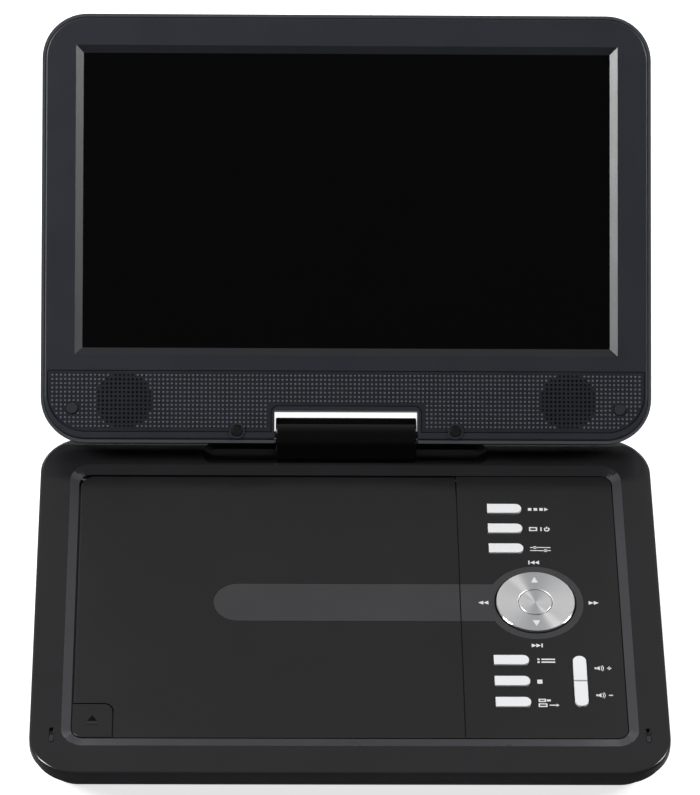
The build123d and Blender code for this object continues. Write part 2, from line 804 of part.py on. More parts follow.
with BuildPart() as key_board:
    with BuildSketch(base_at(key_board_top - board_thickness)):
        with Locations((seam_x + control_width / 2, tray_mid)):
            Rectangle(control_width - 3.6, tray_depth - 2)
        with Locations(screw_places):
            Circle(boss_radius + 1, mode=Mode.SUBTRACT)
    extrude(amount=board_thickness)
    switch_spots = [(key_x + key_length / 2, row) for row in key_rows]
    switch_spots += [(volume_x, volume_y + sign * volume_length / 4) for sign in (1, -1)]
    switch_spots += [(dial_x, dial_y), (dial_x - dial_switch, dial_y), (dial_x + dial_switch, dial_y),
                     (dial_x, dial_y - dial_switch), (dial_x, dial_y + dial_switch)]
    with BuildSketch(base_at(key_board_top)):
        with Locations(switch_spots):
            Rectangle(3.4, 3.4)
    extrude(amount=switch_height)
    # Two pillars with round seats, in which the dial's rocking ring is held
    with BuildSketch(base_at(key_board_top)):
        with Locations((dial_x, dial_y)):
            with GridLocations(0, 2 * pillar_reach, 1, 2):
                Rectangle(2.4, pillar_width)
    extrude(amount=rocker_height - key_board_top)
    with BuildSketch(base_y_plane(rocker_height)):
        Circle(rocker_pin + running_fit)
    extrude(amount=pillar_reach + pillar_width, both=True, mode=Mode.SUBTRACT)
save(key_board, "key_board")

# ---------------------------------------------------------------------------
# Boards, battery and ports
# ---------------------------------------------------------------------------

with BuildPart() as main_board:
    with BuildSketch(base_at(support_height)):
        with Locations((main_board_x, main_board_y)):
            Rectangle(main_board_width, main_board_depth)
    extrude(amount=board_thickness)
    with BuildSketch(base_at(support_height + board_thickness)):
        with Locations((main_board_x - 8, main_board_y + 6)):
            Rectangle(20, 20)
        with Locations((main_board_x + 16, main_board_y + 14), (main_board_x + 16, main_board_y - 4)):
            Rectangle(12, 8)
        with Locations((main_board_x - 14, main_board_y - 18)):
            Rectangle(18, 10)
    extrude(amount=1.2)
save(main_board, "main_board")

with BuildPart() as battery_pack:
    with BuildSketch(base_at(floor_height)):
        with Locations((main_board_x, battery_y)):
            with GridLocations(battery_width / 2, 0, 2, 1):
                RectangleRounded(battery_width / 2, battery_depth, 2)
    extrude(amount=battery_height)
save(battery_pack, "battery_pack")

port_left = tray_right - 1.2
board_edge = side_face - case_wall - fit_gap
port_board_bottom = parting_height + 0.1
port_board_thickness = 1.2
port_board_top = port_board_bottom + port_board_thickness

with BuildPart() as port_board:
    with BuildSketch(base_at(port_board_bottom)):
        with Locations(((port_left + board_edge) / 2, -2)):
            Rectangle(board_edge - port_left, 98)
    extrude(amount=port_board_thickness)
    # Body of the power switch
    with BuildSketch(base_at(port_board_top)):
        with Locations((board_edge - 3.6, slider_y)):
            Rectangle(4, 9)
    extrude(amount=4.6)
save(port_board, "port_board")


def port_body(height, y, width, tall, left, right):
    """Block of a port between two distances from the base's middle."""
    with BuildSketch(side_at(left, y, height)) as block:
        Rectangle(width, tall)
    extrude(block.sketch, amount=right - left)


def port_hole(height, y, radius, depth):
    """Round socket that opens on the right side."""
    with BuildSketch(side_at(port_face - depth, y, height)) as hole:
        Circle(radius)
    extrude(hole.sketch, amount=depth, mode=Mode.SUBTRACT)


socket_radius = 1.8
socket_depth = 14.0
jack_height = 2 * (port_height - port_board_top)
with BuildPart() as audio_jacks:
    for y in audio_places:
        port_body(port_height, y, 6.4, jack_height, port_face - 15.4, board_edge)
        with BuildSketch(side_at(board_edge, y, port_height)):
            Circle(jack_nose)
        extrude(amount=port_face - board_edge)
        port_hole(port_height, y, socket_radius, socket_depth)
save(audio_jacks, "audio_jacks")

inlet_radius = 2.75
with BuildPart() as dc_jack:
    port_body(dc_height, dc_y, 8, 2 * (dc_height - port_board_top), tray_right + tray_wall + 0.3, board_edge)
    with BuildSketch(side_at(board_edge, dc_y, dc_height)):
        Circle(dc_nose)
    extrude(amount=port_face - board_edge)
    port_hole(dc_height, dc_y, inlet_radius, 11.5)
    with BuildSketch(side_at(port_face - 11.5, dc_y, dc_height)):
        Circle(1.0)
    extrude(amount=10)
save(dc_jack, "dc_jack")

usb_height = 2 * (port_height - port_board_top) + 0.3
with BuildPart() as usb_port:
    port_body(port_height + 0.15, usb_y, usb_width, usb_height, tray_right + tray_wall + 0.3, port_face)
    with BuildSketch(side_at(port_face - 11.5, usb_y, port_height + 0.15)):
        Rectangle(usb_width - 0.6, usb_height - 0.6)
    extrude(amount=11.5, mode=Mode.SUBTRACT)
    with BuildSketch(side_at(port_face - 11.5, usb_y, port_height + 1.2)):
        Rectangle(11.0, 1.8)
    extrude(amount=10)
save(usb_port, "usb_port")

reader_height = 3.2
with BuildPart() as card_reader:
    port_body(port_board_top + reader_height / 2, card_y, 25.6, reader_height, port_left, board_edge)
    with BuildSketch(side_at(port_left + 1, card_y, port_board_top + reader_height / 2)):
        Rectangle(24.4, 2.4)
    extrude(amount=board_edge - port_left - 1, mode=Mode.SUBTRACT)
save(card_reader, "card_reader")

slider_travel = 4.0
with BuildPart() as power_slider:
    with BuildSketch(side_at(side_face - 1.1, slider_y - slider_travel / 2, port_height)):
        RectangleRounded(5, 4.0, 0.8)
    extrude(amount=1.0)
    with BuildSketch(side_at(board_edge - 1.4, slider_y - slider_travel / 2, port_height)):
        Rectangle(2.4, 1.4)
    extrude(amount=side_face - 0.6 - board_edge + 1.4)
    with BuildSketch(side_at(side_face - 0.35, slider_y - slider_travel / 2, port_height)):
        with GridLocations(1.2, 0, 3, 1):
            Rectangle(0.5, 2.8)
    extrude(amount=0.3, mode=Mode.SUBTRACT)
save(power_slider, "power_slider")

# ---------------------------------------------------------------------------
# Disc drive
# ---------------------------------------------------------------------------

rod_spread = 15.0
rod_radius = 1.5
rod_height = 9.3
sled_half_width = 18.0
sled_half_length = 9.0
lens_start = 24.4
sled_travel = 34.0
screw_offset = 22.0
screw_height = 8.0
screw_radius = 1.5
screw_pitch = 3.0
motor_radius = 11.0
sled_motor_radius = 3.4
rail_back = disc_y - 12.5
rail_front = disc_y - lens_start - sled_travel - sled_half_length - 2.5
window_back = disc_y - 13.0
window_front = disc_y - lens_start - sled_travel - sled_half_length - 0.8

with BuildPart() as loader_chassis:
    with BuildSketch(base_at(chassis_top - chassis_thickness)):
        with Locations((disc_x, disc_y)):
            RectangleRounded(2 * chassis_half_x, 2 * chassis_half_y, 6)
        with Locations((disc_x + 5.5, (rail_front - 3.5 + disc_y) / 2)):
            Rectangle(2 * sled_half_width + 20, disc_y - rail_front + 3.5)
        with Locations(((disc_x - sled_half_width + disc_x + screw_offset + 6) / 2 - 0.4,
                        (window_back + window_front) / 2)):
            Rectangle(screw_offset + sled_half_width + 7, window_back - window_front, mode=Mode.SUBTRACT)
        with Locations((disc_x, disc_y)):
            Circle(5.3, mode=Mode.SUBTRACT)
        with Locations((disc_x + screw_offset, disc_y - 4)):
            Rectangle(2 * sled_motor_radius + 0.8, 22, mode=Mode.SUBTRACT)
    extrude(amount=chassis_thickness)
    with Locations((disc_x, base_y + (rail_back + rail_front) / 2, rod_height)):
        with GridLocations(2 * rod_spread, 0, 2, 1):
            Cylinder(rod_radius, rail_back - rail_front, rotation=(90, 0, 0), mode=Mode.SUBTRACT)
save(loader_chassis, "loader_chassis")

with BuildPart() as chassis_dampers:
    with BuildSketch(base_at(support_height)):
        with Locations(damper_places):
            Circle(damper_radius)
    extrude(amount=chassis_top - chassis_thickness - support_height)
    fillet(chassis_dampers.edges(), 0.4)
save(chassis_dampers, "chassis_dampers")

motor_bottom = floor_height + 0.4
with BuildPart() as spindle_motor:
    with BuildSketch(base_at(motor_bottom)):
        with Locations((disc_x, disc_y)):
            Circle(motor_radius)
    extrude(amount=chassis_top - chassis_thickness - motor_bottom)
    with BuildSketch(base_at(motor_bottom)):
        with Locations((disc_x, disc_y)):
            Circle(5)
    extrude(amount=turntable_bottom - 1 - motor_bottom)
    with BuildSketch(base_at(motor_bottom + 0.8)):
        with Locations((disc_x, disc_y)):
            Circle(shaft_radius + running_fit)
    extrude(amount=turntable_top, mode=Mode.SUBTRACT)
save(spindle_motor, "spindle_motor")

chuck_radius = disc_hole_radius - spindle_clearance
with BuildPart() as turntable:
    with BuildSketch(base_at(turntable_bottom)):
        with Locations((disc_x, disc_y)):
            Circle(turntable_radius)
    extrude(amount=turntable_top - turntable_bottom)
    with BuildSketch(base_at(turntable_top)):
        with Locations((disc_x, disc_y)):
            Circle(chuck_radius)
    extrude(amount=chuck_height)
    chamfer(turntable.edges().group_by(Axis.Z)[-1], 0.8)
    with BuildSketch(base_at(motor_bottom + 1)):
        with Locations((disc_x, disc_y)):
            Circle(shaft_radius)
    extrude(amount=turntable_bottom - motor_bottom - 1)
    with BuildSketch(base_at(turntable_top + 0.9)):
        with Locations((disc_x, disc_y)):
            with PolarLocations(chuck_radius - 0.8, 3):
                Rectangle(2.4, 1.8)
    extrude(amount=1.1, mode=Mode.SUBTRACT)
save(turntable, "turntable")

with BuildPart() as chuck_balls:
    with Locations((disc_x, base_y + disc_y, turntable_top + 1.45)):
        with PolarLocations(chuck_radius - 0.45, 3):
            Sphere(0.5)
save(chuck_balls, "chuck_balls")

sled_y = disc_y - lens_start
sled_top = chassis_top + 1.6
with BuildPart() as pickup_sled:
    with BuildSketch(base_at(screw_height - 1)):
        with Locations((disc_x, sled_y)):
            RectangleRounded(2 * sled_half_width, 2 * sled_half_length, 2)
        with Locations((disc_x + screw_offset - 1.5, sled_y)):
            Rectangle(2 * (screw_radius + 2), 6)
    extrude(amount=sled_top - screw_height + 1)
    with BuildSketch(base_at(screw_height - 2.9)):
        with Locations((disc_x + screw_offset - 1.2, sled_y)):
            Rectangle(2 * (screw_radius + 1.4), 6)
    extrude(amount=3)
    with Locations((disc_x, base_y + sled_y, rod_height)):
        with GridLocations(2 * rod_spread, 0, 2, 1):
            Cylinder(rod_radius + running_fit, 2 * sled_half_length, rotation=(90, 0, 0), mode=Mode.SUBTRACT)
    with Locations((disc_x + screw_offset, base_y + sled_y, screw_height)):
        Cylinder(screw_radius + running_fit, 2 * sled_half_length, rotation=(90, 0, 0), mode=Mode.SUBTRACT)
save(pickup_sled, "pickup_sled")

with BuildPart() as objective_lens:
    with BuildSketch(base_at(sled_top)):
        with Locations((disc_x, sled_y)):
            Circle(3)
    extrude(amount=bay_floor - sled_top)
    fillet(objective_lens.edges().group_by(Axis.Z)[-1], 0.4)
save(objective_lens, "objective_lens")

with BuildPart() as guide_rods:
    with Locations((disc_x, base_y + (rail_back + rail_front) / 2, rod_height)):
        with GridLocations(2 * rod_spread, 0, 2, 1):
            Cylinder(rod_radius, rail_back - rail_front, rotation=(90, 0, 0))
save(guide_rods, "guide_rods")

lead_length = window_back - window_front - 1
with BuildPart() as lead_screw:
    with Locations((disc_x + screw_offset, base_y + window_back - lead_length / 2, screw_height)):
        Cylinder(screw_radius, lead_length, rotation=(90, 0, 0))
save(lead_screw, "lead_screw")

with BuildPart() as sled_motor:
    with Locations((disc_x + screw_offset, base_y + disc_y - 4, screw_height)):
        Cylinder(sled_motor_radius, 16, rotation=(90, 0, 0))
    with Locations((disc_x + screw_offset, base_y + window_back, screw_height)):
        Cylinder(screw_radius + running_fit, 3, rotation=(90, 0, 0), mode=Mode.SUBTRACT)
save(sled_motor, "sled_motor")

# ---------------------------------------------------------------------------
# Hinge: swivel post and bush, block covers, tilt pins
# ---------------------------------------------------------------------------

block_bottom = deck_height + block_floor_gap
block_drop = axis_height - block_bottom

with BuildPart() as swivel_bush:
    with BuildSketch(base_at(bush_bottom)):
        with Locations((0, axis_y)):
            Circle(bush_radius)
            Circle(post_radius + running_fit, mode=Mode.SUBTRACT)
    extrude(amount=deck_height - valley_depth - bush_bottom)
save(swivel_bush, "swivel_bush")


def block_profile(inset):
    """Section of the hinge block: round over the tilt axis, upright below."""
    half = barrel_radius - inset
    Circle(half)
    with Locations((0, -(block_drop - inset) / 2)):
        Rectangle(2 * half, block_drop - inset)


def block_half(sign):
    """Hollow half of the hinge block, in front of or behind the axis."""
    with BuildPart() as half:
        with BuildSketch(hinge_at(-block_half_width)):
            block_profile(0)
        extrude(amount=2 * block_half_width)
        fillet(half.faces().filter_by(Axis.X).edges().filter_by(GeomType.CIRCLE), 0.6)
        with BuildSketch(hinge_at(block_wall - block_half_width)):
            block_profile(block_wall)
        extrude(amount=2 * (block_half_width - block_wall), mode=Mode.SUBTRACT)
        with BuildSketch(hinge_at(-block_half_width)):
            Circle(tilt_pin_radius + fit_gap)
        extrude(amount=2 * block_half_width, mode=Mode.SUBTRACT)
        with BuildSketch(base_at(block_bottom)):
            with Locations((0, axis_y)):
                Circle(post_radius + fit_gap)
        extrude(amount=block_wall, mode=Mode.SUBTRACT)
        split(bisect_by=Plane.XZ.offset(-base_y - axis_y), keep=Keep.TOP if sign < 0 else Keep.BOTTOM)
    return half


hinge_cover_front = block_half(-1)
save(hinge_cover_front, "hinge_cover_front")
hinge_cover_rear = block_half(1)
save(hinge_cover_rear, "hinge_cover_rear")

plate_top = block_bottom + block_wall + 0.1 + 1.4
with BuildPart() as swivel_post:
    with BuildSketch(base_at(post_foot)):
        with Locations((0, axis_y)):
            Circle(post_radius)
    extrude(amount=plate_top - post_foot)
    with BuildSketch(base_at(block_bottom + block_wall + 0.1)):
        with Locations((0, axis_y)):
            Rectangle(2 * (block_half_width - block_wall - 0.5), 2 * (barrel_radius - block_wall - 0.5))
    extrude(amount=1.4)
    with BuildSketch(base_at(post_foot)):
        with Locations((0, axis_y)):
            Circle(post_bore)
    extrude(amount=plate_top - post_foot, mode=Mode.SUBTRACT)
    with BuildSketch(base_at(post_foot + 1)):
        with Locations((0, axis_y)):
            Circle(post_radius)
            Circle(post_radius - 0.5, mode=Mode.SUBTRACT)
    extrude(amount=clip_thickness, mode=Mode.SUBTRACT)
save(swivel_post, "swivel_post")

with BuildPart() as swivel_clip:
    with BuildSketch(base_at(post_foot + 1)):
        with Locations((0, axis_y)):
            Circle(clip_radius)
            Circle(post_radius - 0.5, mode=Mode.SUBTRACT)
        with Locations((0, axis_y - post_radius)):
            Rectangle(3, 3, mode=Mode.SUBTRACT)
    extrude(amount=clip_thickness)
save(swivel_clip, "swivel_clip")

friction_radius = 3.4
friction_length = block_half_width - block_wall - 0.5 - tilt_pin_inner
with BuildPart() as friction_barrels:
    for left in (-tilt_pin_inner - friction_length, tilt_pin_inner):
        with BuildSketch(hinge_at(left)):
            Circle(friction_radius)
            with Locations((0, -(axis_height - plate_top) / 2)):
                Rectangle(5, axis_height - plate_top)
            Circle(tilt_pin_radius + running_fit, mode=Mode.SUBTRACT)
        extrude(amount=friction_length)
save(friction_barrels, "friction_barrels")

with BuildPart() as tilt_shafts:
    for left in (-tilt_pin_outer, tilt_pin_inner):
        with BuildSketch(hinge_at(left)):
            Circle(tilt_pin_radius)
        extrude(amount=tilt_pin_outer - tilt_pin_inner)
save(tilt_shafts, "tilt_shafts")

# ---------------------------------------------------------------------------
# Lid
# ---------------------------------------------------------------------------

lid_mid = lid_top - lid_length / 2
screen_mid = screen_bottom + screen_height / 2
notch_half = block_half_width + notch_gap
cover_face = lid_half - rim_drop
bezel_back = lid_half - bezel_thickness
frame_wall = 1.5
grille_mid = (grille_bottom + grille_top) / 2
outer_screws = [(-115.2, 10.5), (115.2, 10.5)]
inner_screws = [(-46.0, 1.3), (46.0, 1.3)]
lid_screw_places = outer_screws + inner_screws
lid_screw_head = 2.1
lid_screw_seat = lid_half - 2.6
cap_radius = 2.3


def lid_outline(inset):
    """Rounded outline of the lid, drawn in from its edge."""
    with Locations((0, lid_mid)):
        RectangleRounded(lid_width - 2 * inset, lid_length - 2 * inset, lid_corner - inset)


def notch_outline(grow):
    """Gap in the lid's lower edge that the hinge block stands in."""
    with Locations((0, (notch_top + grow - 2 * lid_lip) / 2)):
        Rectangle(2 * (notch_half + grow), notch_top + grow + 2 * lid_lip)


with BuildPart() as lid_rear_cover:
    with BuildSketch(lid_at(-lid_half)):
        lid_outline(0)
    extrude(amount=cover_face + lid_half)
    fillet(lid_rear_cover.edges().group_by(lid_axis)[0], lid_back_round)
    with BuildSketch(lid_at(lid_back_wall - lid_half)):
        lid_outline(lid_wall)
    extrude(amount=lid_thickness, mode=Mode.SUBTRACT)
    with BuildSketch(lid_at(-lid_half + lid_back_wall / 2)):
        with Locations((0, (notch_top + frame_wall - lid_lip + lid_wall / 2) / 2)):
            Rectangle(2 * (notch_half + frame_wall), notch_top + frame_wall + lid_lip - lid_wall / 2)
    extrude(amount=bezel_back + lid_half - lid_back_wall / 2)
    with BuildSketch(lid_at(-lid_half)):
        notch_outline(0)
    extrude(amount=lid_thickness, mode=Mode.SUBTRACT)
    with BuildSketch(hinge_at(-notch_half - 2 * frame_wall)):
        Circle(tilt_pin_radius + fit_gap)
    extrude(amount=2 * notch_half + 4 * frame_wall, mode=Mode.SUBTRACT)
    with BuildSketch(lid_at(lid_back_wall / 2 - lid_half)):
        with Locations(lid_screw_places):
            Circle(2.2)
    extrude(amount=lid_half - lid_back_wall / 2 + lid_screw_seat - 0.8)
    with BuildSketch(lid_at(-3.2)):
        with Locations(lid_screw_places):
            Circle(screw_shank)
    extrude(amount=lid_half, mode=Mode.SUBTRACT)
save(lid_rear_cover, "lid_rear_cover")


def grille_outline(grow):
    """Speaker panel: round lower corners and a gap for the hinge block."""
    with BuildSketch() as outline:
        with Locations((0, grille_mid)):
            Rectangle(grille_width + 2 * grow, grille_top - grille_bottom + 2 * grow)
        for sign in (-1, 1):
            fillet(corner_at(outline, sign * grille_width / 2, grille_bottom), grille_corner)
            fillet(corner_at(outline, sign * grille_width / 2, grille_top), 1)
    with BuildSketch() as gap:
        with Locations((0, (grille_notch_top - grow - lid_lip) / 2)):
            Rectangle(2 * (notch_half + grille_notch_margin - grow), grille_notch_top - grow + lid_lip)
        for sign in (-1, 1):
            fillet(corner_at(gap, sign * notch_half, grille_notch_top), 3)
    return outline.sketch - gap.sketch


with BuildPart() as lid_bezel:
    with BuildSketch(lid_at(bezel_back)):
        lid_outline(bezel_inset)
    extrude(amount=bezel_thickness)
    fillet(lid_bezel.edges().group_by(lid_axis)[-1], 0.8)
    with BuildSketch(lid_at(bezel_back - bezel_skirt)):
        lid_outline(bezel_inset)
        with Locations((0, lid_mid)):
            RectangleRounded(lid_width - 5.4, lid_length - 5.4, lid_corner - 2.7, mode=Mode.SUBTRACT)
        notch_outline(frame_wall + 0.4)
    extrude(amount=bezel_skirt)
    with BuildSketch(lid_at(bezel_back - bezel_skirt)):
        notch_outline(frame_wall + 0.4)
        Rectangle(2 * tilt_pin_outer + 3, 2 * lid_lip)
    extrude(amount=bezel_skirt, mode=Mode.SUBTRACT)
    with BuildSketch(lid_at(lid_screw_seat - 0.8)):
        with Locations(lid_screw_places):
            Circle(3.2)
    extrude(amount=bezel_back + 0.8 - lid_screw_seat)
    with BuildSketch(lid_at(bezel_back)):
        notch_outline(0)
    extrude(amount=bezel_thickness, mode=Mode.SUBTRACT)
    with BuildSketch(lid_at(lid_half - grille_thickness)):
        add(grille_outline(grille_gap))
    extrude(amount=grille_thickness, mode=Mode.SUBTRACT)
    with BuildSketch(lid_at(bezel_back)):
        with Locations((-speaker_x, speaker_u), (speaker_x, speaker_u)):
            Circle(driver_radius - 0.7)
    extrude(amount=bezel_thickness, mode=Mode.SUBTRACT)
    with BuildSketch(lid_at(lid_screw_seat)):
        with Locations(lid_screw_places):
            Circle(cap_radius + fit_gap / 2)
    extrude(amount=lid_half, mode=Mode.SUBTRACT)
    with BuildSketch(lid_at(lid_screw_seat - 0.8)):
        with Locations(lid_screw_places):
            Circle(screw_shank + fit_gap)
    extrude(amount=0.8, mode=Mode.SUBTRACT)
    with BuildSketch(lid_at(bezel_back)):
        with Locations((0, screen_mid)):
            Rectangle(screen_width, screen_height)
    with BuildSketch(lid_at(lid_half)):
        with Locations((0, screen_mid)):
            Rectangle(screen_width + 2 * screen_bevel, screen_height + 2 * screen_bevel)
    loft(mode=Mode.SUBTRACT)
save(lid_bezel, "lid_bezel")

speaker_steps = range(-6, 7)
speaker_holes = [(sx * speaker_x + i * speaker_pitch, speaker_u + j * speaker_pitch)
                 for sx in (-1, 1) for i in speaker_steps for j in speaker_steps
                 if i * i + j * j <= speaker_hole_rings]
with BuildPart() as speaker_grille:
    with BuildSketch(lid_at(lid_half - grille_thickness)):
        add(grille_outline(0))
        with Locations(lid_screw_places):
            Circle(cap_radius + fit_gap / 2, mode=Mode.SUBTRACT)
        with Locations(speaker_holes):
            Circle(speaker_hole_radius, mode=Mode.SUBTRACT)
    extrude(amount=grille_thickness)
save(speaker_grille, "speaker_grille")

panel_back_depth = bezel_back - fit_gap / 2 - screen_depth
with BuildPart() as lcd_panel:
    with BuildSketch(lid_at(panel_back_depth)):
        with Locations((0, screen_mid)):
            Rectangle(screen_width + 2 * panel_border, screen_height + 2 * panel_border + 4)
    extrude(amount=screen_depth)
save(lcd_panel, "lcd_panel")

with BuildPart() as lcd_frame:
    with BuildSketch(lid_at(panel_back_depth - 1)):
        with Locations((0, screen_mid)):
            Rectangle(screen_width + 2 * panel_border + 2, screen_height + 2 * panel_border + 4)
            with GridLocations(screen_width / 2, 0, 2, 1):
                Rectangle(screen_width / 2 - 14, screen_height - 14, mode=Mode.SUBTRACT)
    extrude(amount=1)
save(lcd_frame, "lcd_frame")

with BuildPart() as speaker_drivers:
    for sign in (-1, 1):
        with BuildSketch(lid_at(bezel_back - 0.1 - 4)):
            with Locations((sign * speaker_x, speaker_u)):
                Circle(driver_radius)
        extrude(amount=4)
        with BuildSketch(lid_at(bezel_back - 9)):
            with Locations((sign * speaker_x, speaker_u)):
                Circle(9)
        extrude(amount=5)
        with BuildSketch(lid_at(bezel_back - 2.6)):
            with Locations((sign * speaker_x, speaker_u)):
                Circle(driver_radius - 2.2)
        extrude(amount=3, mode=Mode.SUBTRACT)
        with BuildSketch(lid_at(bezel_back - 2.6)):
            with Locations((sign * speaker_x, speaker_u)):
                Circle(4)
        extrude(amount=1.2)
save(speaker_drivers, "speaker_drivers")

with BuildPart() as backlight_board:
    with BuildSketch(lid_at(-2)):
        with Locations((0, (notch_top + frame_wall + grille_top) / 2)):
            Rectangle(2 * notch_half, grille_top - notch_top - frame_wall - 2)
    extrude(amount=board_thickness)
    with BuildSketch(lid_at(board_thickness - 2)):
        with Locations((12, (notch_top + frame_wall + grille_top) / 2)):
            Rectangle(18, 8)
        with Locations((-16, (notch_top + frame_wall + grille_top) / 2)):
            Rectangle(8, 8)
    extrude(amount=3)
save(backlight_board, "backlight_board")

bracket_inner = notch_half + frame_wall + fit_gap
with BuildPart() as tilt_brackets:
    for sign in (-1, 1):
        left = bracket_inner if sign > 0 else -tilt_pin_outer - 1
        with BuildSketch(hinge_at(left)):
            Circle(tilt_pin_radius + 0.7)
        extrude(amount=tilt_pin_outer + 1 - bracket_inner)
        with BuildSketch(lid_at(-0.6)):
            with Locations((sign * (bracket_inner + tilt_pin_outer + 1) / 2, 12)):
                Rectangle(tilt_pin_outer + 1 - bracket_inner, 24)
        extrude(amount=1.2)
    for left in (-tilt_pin_outer, tilt_pin_inner):
        with BuildSketch(hinge_at(left)):
            Circle(tilt_pin_radius)
        extrude(amount=tilt_pin_outer - tilt_pin_inner, mode=Mode.SUBTRACT)
save(tilt_brackets, "tilt_brackets")

with BuildPart() as lid_screws:
    with BuildSketch(lid_at(lid_screw_seat)):
        with Locations(lid_screw_places):
            Circle(lid_screw_head)
    extrude(amount=1.2)
    with BuildSketch(lid_at(-3)):
        with Locations(lid_screw_places):
            Circle(screw_shank)
    extrude(amount=lid_screw_seat + 3)
save(lid_screws, "lid_screws")

cap_bottom = lid_screw_seat + 1.3
with BuildPart() as bumper_plugs:
    with BuildSketch(lid_at(cap_bottom)):
        with Locations(outer_screws):
            Circle(cap_radius)
    extrude(amount=lid_half + 0.6 - cap_bottom)
    fillet(bumper_plugs.edges().group_by(lid_axis)[-1], 0.4)
save(bumper_plugs, "bumper_plugs")

with BuildPart() as screw_caps:
    with BuildSketch(lid_at(cap_bottom)):
        with Locations(inner_screws):
            Circle(cap_radius)
    extrude(amount=lid_half + 0.3 - cap_bottom)
    fillet(screw_caps.edges().group_by(lid_axis)[-1], 0.3)
save(screw_caps, "screw_caps")
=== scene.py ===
"""Looks of the portable DVD player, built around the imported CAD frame. All lengths are metres."""

import json
from math import cos, hypot, pi, radians, sin

import bmesh
import bpy
from mathutils import Matrix, Vector


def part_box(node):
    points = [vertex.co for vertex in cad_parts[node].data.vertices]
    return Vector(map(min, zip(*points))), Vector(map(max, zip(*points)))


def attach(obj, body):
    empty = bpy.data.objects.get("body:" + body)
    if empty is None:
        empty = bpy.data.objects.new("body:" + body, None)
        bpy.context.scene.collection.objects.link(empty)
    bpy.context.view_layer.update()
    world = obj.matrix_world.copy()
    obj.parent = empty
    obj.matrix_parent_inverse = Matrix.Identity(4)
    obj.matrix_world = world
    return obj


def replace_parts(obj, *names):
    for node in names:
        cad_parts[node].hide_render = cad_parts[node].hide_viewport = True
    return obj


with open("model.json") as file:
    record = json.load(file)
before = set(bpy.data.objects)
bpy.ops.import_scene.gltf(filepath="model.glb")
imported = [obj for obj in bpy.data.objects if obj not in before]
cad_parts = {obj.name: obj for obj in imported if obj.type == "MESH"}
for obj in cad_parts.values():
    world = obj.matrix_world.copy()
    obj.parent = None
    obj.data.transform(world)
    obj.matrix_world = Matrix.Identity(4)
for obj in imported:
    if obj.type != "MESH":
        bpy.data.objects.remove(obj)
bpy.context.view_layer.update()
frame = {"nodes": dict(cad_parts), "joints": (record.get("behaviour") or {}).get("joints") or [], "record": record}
nodes = frame["nodes"]
joints = {joint["name"]: joint for joint in frame["joints"]}
MM = 0.001

# ---------------------------------------------------------------------------
# Places read from the frame
# ---------------------------------------------------------------------------


def middle(node):
    low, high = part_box(node)
    return (low + high) / 2


hinge = Vector(joints["lid_tilt"]["pos_m"])
LID_OPEN = radians(-joints["lid_tilt"]["range_deg"][0])
lid_along = Vector((0, -cos(LID_OPEN), sin(LID_OPEN)))
lid_face = Vector((0, -sin(LID_OPEN), -cos(LID_OPEN)))
LID_FRAME = Matrix.Translation(hinge) @ Matrix((
    (1, 0, 0, 0),
    (0, lid_along.y, lid_face.y, 0),
    (0, lid_along.z, lid_face.z, 0),
    (0, 0, 0, 1)))


def in_lid(node):
    """A lid node's box in the lid's own frame: X across, Y from the hinge, Z out of the face."""
    inverse = LID_FRAME.inverted()
    corners = [inverse @ v.co for v in nodes[node].data.vertices]
    low = Vector(min(c[i] for c in corners) for i in range(3))
    high = Vector(max(c[i] for c in corners) for i in range(3))
    return low, high


panel_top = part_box("control_panel")[1].z
deck_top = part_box("top_case")[1].z
dial = middle("centre_button")

# ---------------------------------------------------------------------------
# Materials
# ---------------------------------------------------------------------------


def srgb(red, green, blue):
    """Linear colour of an sRGB colour given as 0 to 255."""
    def linear(value):
        value /= 255
        return value / 12.92 if value <= 0.04045 else ((value + 0.055) / 1.055) ** 2.4
    return (linear(red), linear(green), linear(blue), 1)


